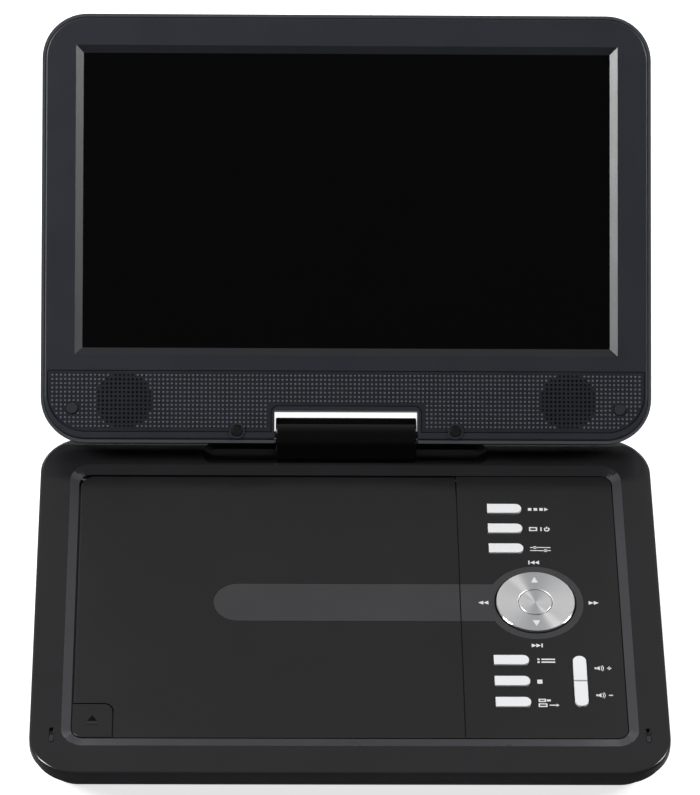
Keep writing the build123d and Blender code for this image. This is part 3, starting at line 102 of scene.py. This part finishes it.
class Finish:
    """A procedural material: mottled colour and roughness, and a fine bump."""

    def __init__(self, name, colour, roughness, metallic=0.0, coat=0.0, coat_roughness=0.05, specular=0.5):
        self.material = bpy.data.materials.new(name)
        self.material.use_nodes = True
        self.tree = self.material.node_tree
        self.shader = self.tree.nodes["Principled BSDF"]
        self.shader.inputs["Base Color"].default_value = colour
        self.shader.inputs["Roughness"].default_value = roughness
        self.shader.inputs["Metallic"].default_value = metallic
        self.shader.inputs["Coat Weight"].default_value = coat
        self.shader.inputs["Coat Roughness"].default_value = coat_roughness
        self.shader.inputs["Specular IOR Level"].default_value = specular
        self.colour = colour
        self.roughness = roughness
        self.height = None

    def node(self, kind, **settings):
        made = self.tree.nodes.new(kind)
        for key, value in settings.items():
            setattr(made, key, value)
        return made

    def link(self, source, target):
        self.tree.links.new(source, target)

    def place(self, scale=(1, 1, 1), location=(0, 0, 0)):
        """Coordinates in the row frame, moved and scaled."""
        mapping = self.node("ShaderNodeMapping")
        mapping.inputs["Scale"].default_value = scale
        mapping.inputs["Location"].default_value = location
        self.link(self.node("ShaderNodeTexCoord").outputs["Object"], mapping.inputs["Vector"])
        return mapping.outputs["Vector"]

    def noise(self, scale, detail=3.0, stretch=(1, 1, 1)):
        """Noise with features of about 1 / scale metres."""
        texture = self.node("ShaderNodeTexNoise")
        texture.inputs["Scale"].default_value = scale
        texture.inputs["Detail"].default_value = detail
        self.link(self.place(stretch), texture.inputs["Vector"])
        return texture.outputs["Fac"]

    def remap(self, value, low, high, start=0.3, end=0.7):
        made = self.node("ShaderNodeMapRange")
        for name, number in zip(("From Min", "From Max", "To Min", "To Max"), (start, end, low, high)):
            made.inputs[name].default_value = number
        self.link(value, made.inputs["Value"])
        return made.outputs["Result"]

    def math(self, operation, first, second=None):
        made = self.node("ShaderNodeMath", operation=operation)
        for socket, value in zip(made.inputs, (first, second)):
            if isinstance(value, (int, float)):
                socket.default_value = value
            elif value is not None:
                self.link(value, socket)
        return made.outputs[0]

    def mottle(self, scale, amount, stretch=(1, 1, 1)):
        """Vary the colour by a share of itself."""
        mix = self.node("ShaderNodeMix", data_type="RGBA")
        dark = [c * (1 - amount) for c in self.colour[:3]] + [1]
        light = [min(1, c * (1 + amount)) for c in self.colour[:3]] + [1]
        mix.inputs[6].default_value = dark
        mix.inputs[7].default_value = light
        self.link(self.remap(self.noise(scale, 4.0, stretch), 0, 1), mix.inputs[0])
        self.link(mix.outputs[2], self.shader.inputs["Base Color"])
        return self

    def wear(self, scale, amount, stretch=(1, 1, 1)):
        """Vary the roughness up and down by an amount."""
        value = self.remap(self.noise(scale, 5.0, stretch), self.roughness - amount, self.roughness + amount)
        self.link(value, self.shader.inputs["Roughness"])
        return self

    def bump(self, height, strength, distance):
        made = self.node("ShaderNodeBump")
        made.inputs["Strength"].default_value = strength
        made.inputs["Distance"].default_value = distance
        self.link(height, made.inputs["Height"])
        if self.height is not None:
            self.link(self.height, made.inputs["Normal"])
        self.height = made.outputs["Normal"]
        self.link(self.height, self.shader.inputs["Normal"])
        return self

    def grain(self, scale, strength, distance=0.00003, stretch=(1, 1, 1)):
        """Fine moulded grain."""
        return self.bump(self.noise(scale, 2.0, stretch), strength, distance)


def moulded(name, colour, roughness, grain=2500, strength=0.25, mottle=0.05, **settings):
    """Moulded plastic with a faint grain."""
    finish = Finish(name, colour, roughness, **settings)
    return finish.mottle(35, mottle).wear(60, 0.03).grain(grain, strength)


# Angle and sharpness of a painted highlight line across the dial
PAINTED_STREAK_ANGLE = radians(122)
PAINTED_STREAK_SHARPNESS = 60.0
RING_PITCH = 0.00022


def spun(name, colour, centre, roughness):
    """Metal spun on a lathe: fine rings as a bump, and a painted highlight and painted shade in the base colour,
    in sectors round the centre and a bright line across it.
    """
    finish = Finish(name, colour, roughness, metallic=0.5)
    finish.shader.inputs["Anisotropic"].default_value = 0.6
    tangent = finish.node("ShaderNodeTangent", direction_type="RADIAL", axis="Z")
    finish.link(tangent.outputs["Tangent"], finish.shader.inputs["Tangent"])
    parts = finish.node("ShaderNodeSeparateXYZ")
    finish.link(finish.place(location=(-centre.x, -centre.y, 0)), parts.inputs["Vector"])
    x, y = parts.outputs["X"], parts.outputs["Y"]
    angle = finish.math("ARCTAN2", y, x)
    squares = finish.math("ADD", finish.math("MULTIPLY", x, x), finish.math("MULTIPLY", y, y))
    radius = finish.math("SQRT", squares)
    # Painted highlight and painted shade: the base colour goes from 0.62 to 1.3 times itself by the angle round
    # the centre
    painted_fans = finish.math("COSINE", finish.math("MULTIPLY", angle, 2.0))
    across = finish.math("ABSOLUTE", finish.math("COSINE", finish.math("SUBTRACT", angle, PAINTED_STREAK_ANGLE)))
    painted_streak = finish.math("POWER", across, PAINTED_STREAK_SHARPNESS)
    light = finish.math("ADD", finish.math("MULTIPLY", painted_fans, 0.6), finish.math("MULTIPLY", painted_streak, 1.2))
    mix = finish.node("ShaderNodeMix", data_type="RGBA")
    mix.inputs[6].default_value = [c * 0.62 for c in colour[:3]] + [1]
    mix.inputs[7].default_value = [min(1, c * 1.3) for c in colour[:3]] + [1]
    finish.link(finish.remap(light, 0, 1, -0.7, 0.8), mix.inputs[0])
    finish.link(mix.outputs[2], finish.shader.inputs["Base Color"])
    rings = finish.math("SINE", finish.math("MULTIPLY", radius, 2 * pi / RING_PITCH))
    finish.bump(rings, 0.25, 0.00001)
    return finish


finishes = {
    "case_gloss": moulded("case_gloss", srgb(31, 31, 33), 0.22, 1800, 0.04, coat=0.3, coat_roughness=0.1),
    "door_gloss": moulded("door_gloss", srgb(29, 29, 30), 0.3, 1800, 0.04, coat=0.25, coat_roughness=0.15),
    "case_matte": moulded("case_matte", srgb(24, 24, 25), 0.55, 1500, 0.4, specular=0.04),
    # Lighter grey on the cove round the tray: a painted highlight
    "cove_painted_highlight": moulded("cove_painted_highlight", srgb(66, 66, 70), 0.3, 1800, 0.04, coat=0.6, coat_roughness=0.2),
    # Near-black finish for the open sign, and painted shade in the dip under the hinge block
    "black_sign_and_painted_shade": moulded("black_sign_and_painted_shade", srgb(8, 8, 9), 0.5, 1500, 0.1, specular=0.08),
    "bevel_gloss": moulded("bevel_gloss", srgb(34, 36, 40), 0.35, 2200, 0.1, coat=0.5, coat_roughness=0.25),
    # Light grey on the speaker studs: a painted highlight for their glints
    "stud_painted_glint": moulded("stud_painted_glint", srgb(100, 102, 111), 0.35, 1800, 0.1),
    "hinge_gloss": moulded("hinge_gloss", srgb(9, 9, 10), 0.12, 1200, 0.03, coat=0.6),
    "strip_grey": moulded("strip_grey", srgb(62, 62, 64), 0.28, 1800, 0.04, coat=0.25, coat_roughness=0.1),
    "lid_shell": moulded("lid_shell", srgb(72, 74, 78), 0.32, 1800, 0.1, coat=0.2, coat_roughness=0.15),
    "bezel_satin": moulded("bezel_satin", srgb(40, 43, 50), 0.42, 2200, 0.25, coat=0.18, coat_roughness=0.3),
    "grille_plastic": moulded("grille_plastic", srgb(35, 36, 43), 0.4, 1800, 0.15),
    "screen_glass": moulded("screen_glass", srgb(4, 4, 5), 0.1, 800, 0.01),
    "key_white": moulded("key_white", srgb(249, 250, 252), 0.3, 1500, 0.05, coat=0.3, mottle=0.02),
    "rubber": moulded("rubber", srgb(34, 35, 40), 0.7, 1500, 0.5),
    "cap_plastic": moulded("cap_plastic", srgb(8, 8, 9), 0.45, 1500, 0.3),
    "steel": moulded("steel", srgb(170, 171, 174), 0.32, 900, 0.15, metallic=1.0, mottle=0.12),
    "port_plastic": moulded("port_plastic", srgb(18, 18, 19), 0.4, 1500, 0.2),
    "board_green": moulded("board_green", srgb(20, 92, 48), 0.35, 900, 0.3, mottle=0.2),
    "battery_wrap": moulded("battery_wrap", srgb(50, 84, 140), 0.3, 700, 0.2),
    "lens_glass": moulded("lens_glass", srgb(120, 140, 190), 0.05, 500, 0.02, coat=1.0),
    "bush_brass": moulded("bush_brass", srgb(200, 165, 90), 0.3, 900, 0.15, metallic=1.0, mottle=0.1),
    # Spun dial metal, with a painted highlight and painted shade by the angle round the dial's middle
    "dial_metal": spun("dial_metal", srgb(240, 241, 244), dial, 0.34),
    "dial_rim": Finish("dial_rim", srgb(238, 238, 240), 0.14, metallic=1.0),
    "open_mark": moulded("open_mark", srgb(46, 46, 48), 0.3, 1800, 0.04),
    "print_white": moulded("print_white", srgb(236, 237, 239), 0.5, 2500, 0.1, mottle=0.03),
}
SPECIAL = {"disc_door": "door_gloss", "control_panel": "door_gloss", "open_button": "door_gloss"}

slot_of = {part["node"]: part["material_slot"] for part in frame["record"]["subparts"]}


def dress(piece, finish):
    piece.data.materials.clear()
    piece.data.materials.append(finishes[finish].material)


for name, node in nodes.items():
    dress(node, SPECIAL.get(name, slot_of[name]))


def dress_faces(node, finish, chosen):
    """Give some faces of a node a second finish."""
    mesh = nodes[node].data
    mesh.materials.append(finishes[finish].material)
    index = len(mesh.materials) - 1
    for face in mesh.polygons:
        if chosen(face):
            face.material_index = index


high_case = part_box("top_case")[1]
high_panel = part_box("control_panel")[1]
low_door, high_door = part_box("disc_door")
BAND = 0.0042
DIP_DEPTH = 0.0012
DIP_HALF_WIDTH = 0.0605
DIP_FRONT = 0.0052
DIP_BACK = 0.0025


def in_tray(point, margin):
    return (low_door.x - margin < point.x < high_panel.x + margin
            and low_door.y - margin < point.y < high_door.y + margin)


# Matte lower walls, painted shade on the deck in the dip under the hinge block, a lighter cove round the tray as a
# painted highlight, bevel round the screen
dress_faces("top_case", "case_matte", lambda face: face.center.z < deck_top - BAND
            and not in_tray(face.center, 0.002))
# Painted shade: the deck in the dip under the hinge block gets a near-black finish with little reflection
dress_faces("top_case", "black_sign_and_painted_shade", lambda face: deck_top - DIP_DEPTH < face.center.z < deck_top - 0.00003
            and face.normal.z > 0.3 and abs(face.center.x) < DIP_HALF_WIDTH
            and high_door.y + DIP_FRONT < face.center.y < high_case.y - DIP_BACK)
# Painted highlight: the front and side cove round the tray gets a lighter grey finish, standing in for the light
# its slope reflects
dress_faces("top_case", "cove_painted_highlight", lambda face: panel_top - 0.0001 < face.center.z < deck_top - 0.0001
            and 0.2 < face.normal.z < 0.99 and in_tray(face.center, 0.0056)
            and face.center.y < high_door.y + 0.0003)
screen_low, screen_high = in_lid("lcd_panel")
to_lid = LID_FRAME.inverted()


def on_bevel(face):
    spot = to_lid @ face.center
    lean = face.normal.dot(lid_face)
    return 0.2 < lean < 0.95 and screen_low.y < spot.y < screen_high.y and abs(spot.x) < screen_high.x + 0.001


dress_faces("lid_bezel", "bevel_gloss", on_bevel)

# ---------------------------------------------------------------------------
# Pieces made here
# ---------------------------------------------------------------------------


def mesh_piece(name, verts, faces, finish, body, smooth=False):
    """A mesh in the row frame that rides with a body."""
    data = bpy.data.meshes.new(name)
    data.from_pydata([tuple(v) for v in verts], [], faces)
    work = bmesh.new()
    work.from_mesh(data)
    bmesh.ops.recalc_face_normals(work, faces=work.faces)
    work.to_mesh(data)
    work.free()
    made = bpy.data.objects.new(name, data)
    bpy.context.scene.collection.objects.link(made)
    data.materials.append(finishes[finish].material)
    if smooth:
        data.shade_smooth()
    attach(made, body)
    return made


def lathe(name, profile, centre, finish, body, segments=128):
    """A closed profile of (radius, height) pairs in millimetres, turned about an upright axis."""
    verts, faces = [], []
    for radius, height in profile:
        for i in range(segments):
            angle = 2 * pi * i / segments
            x = centre.x + radius * MM * cos(angle)
            y = centre.y + radius * MM * sin(angle)
            verts.append((x, y, height * MM))
    count = len(profile)
    for k in range(count):
        for i in range(segments):
            j = (i + 1) % segments
            faces.append((k * segments + i, k * segments + j,
                          (k + 1) % count * segments + j, (k + 1) % count * segments + i))
    made = mesh_piece(name, verts, faces, finish, body, smooth=True)
    made.modifiers.new("crease", "EDGE_SPLIT").split_angle = radians(28)
    return made


def plates(name, outlines, place, height, finish, body):
    """Thin raised plates: flat outlines in millimetres, placed by a matrix."""
    verts, faces = [], []
    for outline in outlines:
        start = len(verts)
        count = len(outline)
        for z in (0.0, height):
            verts += [place @ Vector((x * MM, y * MM, z * MM)) for x, y in outline]
        faces.append(tuple(start + i for i in range(count))[::-1])
        faces.append(tuple(start + count + i for i in range(count)))
        for i in range(count):
            j = (i + 1) % count
            faces.append((start + i, start + j, start + count + j, start + count + i))
    return mesh_piece(name, verts, faces, finish, body)


def bar(x, y, width, height):
    return [(x - width / 2, y - height / 2), (x + width / 2, y - height / 2),
            (x + width / 2, y + height / 2), (x - width / 2, y + height / 2)]


def wedge(x, y, width, height, turn=0):
    """Triangle that points along +X, turned by degrees."""
    c, s = cos(radians(turn)), sin(radians(turn))
    points = [(-width / 2, -height / 2), (width / 2, 0), (-width / 2, height / 2)]
    return [(x + px * c - py * s, y + px * s + py * c) for px, py in points]


def arc(x, y, radius, width, start, end, steps=14):
    """Quads along an arc, from one angle to another in degrees."""
    made = []
    for i in range(steps):
        a = radians(start + (end - start) * i / steps)
        b = radians(start + (end - start) * (i + 1) / steps)
        inner, outer = radius - width / 2, radius + width / 2
        made.append([(x + inner * cos(a), y + inner * sin(a)), (x + outer * cos(a), y + outer * sin(a)),
                     (x + outer * cos(b), y + outer * sin(b)), (x + inner * cos(b), y + inner * sin(b))])
    return made


def frame_of(x, y, width, height, line):
    """Four bars round a rectangle."""
    return [bar(x, y + (height - line) / 2, width, line), bar(x, y - (height - line) / 2, width, line),
            bar(x - (width - line) / 2, y, line, height - 2 * line),
            bar(x + (width - line) / 2, y, line, height - 2 * line)]


LINE = 0.55


def control_print():
    """Plain signs beside the keys and round the dial, in millimetres from the dial's middle."""
    signs = []

    def beside(key):
        low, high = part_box(key)
        return (high.x - dial.x) / MM + 2.0, ((low.y + high.y) / 2 - dial.y) / MM

    x, y = beside("mode_key")
    signs += [bar(x + 0.7 + i * 2.4, y, 1.5, 1.5) for i in range(3)]
    signs += [wedge(x + 7.6, y, 1.6, 2.0)]
    x, y = beside("display_key")
    signs += frame_of(x + 1.7, y, 3.4, 2.2, LINE) + [bar(x + 5.0, y, LINE, 2.2)]
    signs += arc(x + 7.4, y - 0.1, 0.95, LINE, 125, 415) + [bar(x + 7.4, y + 0.75, LINE, 1.1)]
    x, y = beside("setup_key")
    for i, knob in enumerate((2.0, 6.4)):
        signs += [bar(x + 4.3, y + 0.8 - 1.7 * i, 8.6, 0.42), bar(x + knob, y + 0.8 - 1.7 * i, 1.1, 1.4)]
    x, y = beside("menu_key")
    signs += [bar(x + 1.0, y + 0.75 * i, 0.9, 0.9) for i in (-1, 1)]
    signs += [bar(x + 5.0, y + 0.75 * i, 5.6, 0.7) for i in (-1, 1)]
    x, y = beside("stop_key")
    signs += [bar(x + 1.1, y, 2.1, 2.1)]
    x, y = beside("source_key")
    signs += frame_of(x + 1.7, y + 1.2, 3.0, 1.7, LINE) + [bar(x + 4.3, y + 1.2, 1.6, 1.0)]
    signs += frame_of(x + 1.9, y - 1.3, 3.6, 1.9, LINE) + [bar(x + 6.0, y - 1.3, 3.0, LINE)]
    signs += [wedge(x + 8.0, y - 1.3, 1.2, 1.6)]
    low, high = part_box("volume_up_key")
    x = (high.x - dial.x) / MM + 2.4
    for key, marks in (("volume_up_key", (0, 90)), ("volume_down_key", (0,))):
        y = (middle(key).y - dial.y) / MM
        signs += [bar(x + 0.5, y, 0.9, 1.0), wedge(x + 1.3, y, 1.7, 2.2, 180)]
        signs += arc(x + 1.6, y, 1.4, 0.3, -45, 45, 6) + arc(x + 1.6, y, 2.1, 0.3, -45, 45, 6)
        signs += [bar(x + 6.0, y, *((1.7, LINE) if turn == 0 else (LINE, 1.7))) for turn in marks]
    for y, turn in ((22.1, 180), (-23.3, 0)):
        side = 1 if turn == 0 else -1
        signs += [wedge(side * (i * 1.9 - 1.5), y, 1.9, 2.1, turn) for i in (0, 1)]
        signs += [bar(side * 1.8, y, LINE, 2.1)]
    for x, turn in ((-21.4, 180), (24.0, 0)):
        side = 1 if turn == 0 else -1
        signs += [wedge(x + side * (i * 2.1 - 1.0), -0.1, 2.1, 2.0, turn) for i in (0, 1)]
    place = Matrix.Translation((dial.x, dial.y, panel_top - 0.00004))
    plates("control_print", signs, place, 0.07, "print_white", "base")


def navigation_dial():
    """Spun dial: a dished ring with a bright rim, and a dished centre button."""
    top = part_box("nav_ring")[1].z / MM
    base = panel_top / MM - 2.4
    ring = [(16.4, base), (16.4, top - 0.6), (16.25, top - 0.2), (16.0, top - 0.02), (15.75, top),
            (12.0, top - 0.2), (9.0, top - 0.34), (7.35, top - 0.42), (7.05, top - 0.6),
            (7.05, base), (9.0, base), (14.0, base)]
    body = lathe("dial_ring", ring, dial, "dial_metal", "nav_ring")
    body.data.materials.append(finishes["dial_rim"].material)
    for face in body.data.polygons:
        radius = hypot(face.center.x - dial.x, face.center.y - dial.y) / MM
        face.material_index = 1 if radius > 16.05 else 0
    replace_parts(body, "nav_ring")
    button = [(6.72, base), (6.72, top - 0.6), (6.5, top - 0.4), (6.2, top - 0.34), (3.0, top - 0.55),
              (0.05, top - 0.7), (0.05, base), (3.0, base)]
    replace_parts(lathe("dial_button", button, dial, "dial_metal", "centre_button"), "centre_button")
    marks = [wedge(0, 11.9, 3.2, 3.0, 90), wedge(0, -11.9, 3.2, 3.0, -90)]
    place = Matrix.Translation((dial.x, dial.y, (top - 0.25) * MM))
    plates("dial_print", marks, place, 0.12, "print_white", "nav_ring")


# Places on the speaker panel, in millimetres across and up from the hinge; each has a twin on the other side
SPEAKER = (93.4, 13.8)
OUTER_PLUG = (115.2, 10.5)
INNER_PLUG = (46.0, 1.3)
SINK = 0.02


def speaker_dots():
    """Small raised studs in a grid over the whole speaker panel, but not on its holes, plugs and notch; their
    light grey is a painted highlight for their glints.
    """
    low, high = in_lid("speaker_grille")
    pitch, base_radius, tip_radius, rise = 1.79, 0.52, 0.3, 0.4
    columns, rows = 70, 7
    edge_margin, side_margin = 0.9, 1.0
    speaker_clear, plug_clear = 12.0, 3.1
    notch_half, notch_top = 33.3, 13.6
    speaker_x, speaker_u = SPEAKER
    plugs = [(sign * x, u) for x, u in (OUTER_PLUG, INNER_PLUG) for sign in (-1, 1)]
    half = high.x / MM
    bottom, top = low.y / MM, high.y / MM
    corner = 16.0
    verts, faces = [], []
    face = high.z / MM - SINK

    def clear(x, u):
        if u < bottom + edge_margin or u > top - edge_margin or abs(x) > half - side_margin:
            return False
        inset_x, inset_u = abs(x) - (half - corner), (bottom + corner) - u
        if inset_x > 0 and inset_u > 0 and hypot(inset_x, inset_u) > corner - side_margin:
            return False
        if abs(x) < notch_half and u < notch_top:
            return False
        if hypot(abs(x) - speaker_x, u - speaker_u) < speaker_clear:
            return False
        return all(hypot(x - px, u - pu) > plug_clear for px, pu in plugs)

    for column in range(-columns, columns + 1):
        for row in range(-rows, rows + 1):
            x, u = column * pitch, speaker_u + row * pitch
            if not clear(x, u):
                continue
            start = len(verts)
            for radius, z in ((base_radius, face), (tip_radius, face + rise)):
                for i in range(6):
                    a = pi / 3 * i
                    across = (x + radius * cos(a)) * MM
                    along = (u + radius * sin(a)) * MM
                    verts.append(LID_FRAME @ Vector((across, along, z * MM)))
            faces.append(tuple(start + 6 + i for i in range(6)))
            faces.append(tuple(start + i for i in range(6))[::-1])
            for i in range(6):
                j = (i + 1) % 6
                faces.append((start + i, start + j, start + 6 + j, start + 6 + i))
    mesh_piece("grille_studs", verts, faces, "stud_painted_glint", "lid")


def lid_rings():
    """Low raised bosses round the two inner plugs of the speaker panel."""
    top = in_lid("speaker_grille")[1].z / MM
    radius, width, rise = 2.95, 0.75, 0.45
    x, u = INNER_PLUG
    place = LID_FRAME @ Matrix.Translation((0, 0, (top - SINK) * MM))
    for i, sign in enumerate((-1, 1)):
        ring = arc(sign * x, u, radius, width, 0, 360, 48)
        plates(f"plug_ring_{i}", ring, place, rise, "bezel_satin", "lid")


def door_mark():
    """Raised open sign on the button: a triangle over a bar."""
    spot = middle("open_button")
    place = Matrix.Translation((spot.x, spot.y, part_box("open_button")[1].z - 0.00002))
    plates("open_arrow", [wedge(0, 1.3, 2.9, 3.8, 90)], place, 0.1, "black_sign_and_painted_shade", "open_button")
    plates("open_bar", [bar(0, -1.3, 3.8, 1.0)], place, 0.2, "open_mark", "open_button")


control_print()
navigation_dial()
speaker_dots()
lid_rings()
door_mark()

# ---------------------------------------------------------------------------
# Stage, camera and light
# ---------------------------------------------------------------------------

VIEW_PITCH = radians(46.11)
VIEW_YAW = radians(-1.873)
VIEW_ROLL = radians(1.551)
VIEW_TARGET = Vector((0.0019, 0.0384, 0.0371))
VIEW_DISTANCE = 2.0
SENSOR = 36.0
LENS = 213.5


def camera():
    data = bpy.data.cameras.new("view")
    data.sensor_width = SENSOR
    data.lens = LENS
    made = bpy.data.objects.new("view", data)
    turn = (Matrix.Rotation(VIEW_YAW, 4, "Z") @ Matrix.Rotation(pi / 2 - VIEW_PITCH, 4, "X")
            @ Matrix.Rotation(VIEW_ROLL, 4, "Z"))
    made.matrix_world = Matrix.Translation(VIEW_TARGET) @ turn @ Matrix.Translation((0, 0, VIEW_DISTANCE))
    bpy.context.scene.collection.objects.link(made)
    bpy.context.scene.camera = made


def area_light(name, location, target, size, power, colour=(1, 1, 1)):
    data = bpy.data.lights.new(name, "AREA")
    data.shape = "RECTANGLE"
    data.size, data.size_y = size
    data.energy = power
    data.color = colour
    made = bpy.data.objects.new(name, data)
    made.location = location
    made.rotation_euler = (Vector(target) - Vector(location)).to_track_quat("-Z", "Y").to_euler()
    bpy.context.scene.collection.objects.link(made)


def backdrop():
    """White paper that glows a little, so that it stays white in every view."""
    bpy.ops.mesh.primitive_plane_add(size=8, location=(0, 0, 0))
    floor = bpy.context.object
    floor.name = "floor"
    finish = Finish("floor_paper", (0.86, 0.86, 0.86, 1), 0.9).mottle(3, 0.01)
    finish.shader.inputs["Emission Color"].default_value = (1, 1, 1, 1)
    finish.shader.inputs["Emission Strength"].default_value = 0.75
    floor.data.materials.append(finish.material)
    floor.visible_glossy = False


# Where along Y the sky's strength starts and ends to change, and its two strengths
SKY_RANGE = (-0.55, 0.95, 0.04, 0.3)


def sky():
    """Grey room that is lighter behind the object than in front of it."""
    world = bpy.data.worlds.new("studio")
    world.use_nodes = True
    tree = world.node_tree
    background = tree.nodes["Background"]
    parts = tree.nodes.new("ShaderNodeSeparateXYZ")
    tree.links.new(tree.nodes.new("ShaderNodeTexCoord").outputs["Generated"], parts.inputs["Vector"])
    back = tree.nodes.new("ShaderNodeMapRange")
    for name, number in zip(("From Min", "From Max", "To Min", "To Max"), SKY_RANGE):
        back.inputs[name].default_value = number
    back.interpolation_type = "SMOOTHSTEP"
    tree.links.new(parts.outputs["Y"], back.inputs["Value"])
    tree.links.new(back.outputs["Result"], background.inputs["Strength"])
    background.inputs["Color"].default_value = (1, 1, 1, 1)
    bpy.context.scene.world = world


def lights():
    area_light("back", (0, 2.2, 0.95), (0, 0, 0.05), (2.8, 0.35), 20)
    area_light("left", (-1.7, -0.2, 1.5), (0, 0.05, 0.05), (0.6, 1.2), 42)
    area_light("right", (1.8, 0.1, 1.2), (0, 0.05, 0.05), (0.5, 1.2), 24)


camera()
backdrop()
sky()
lights()
bpy.context.scene.view_settings.view_transform = "Standard"
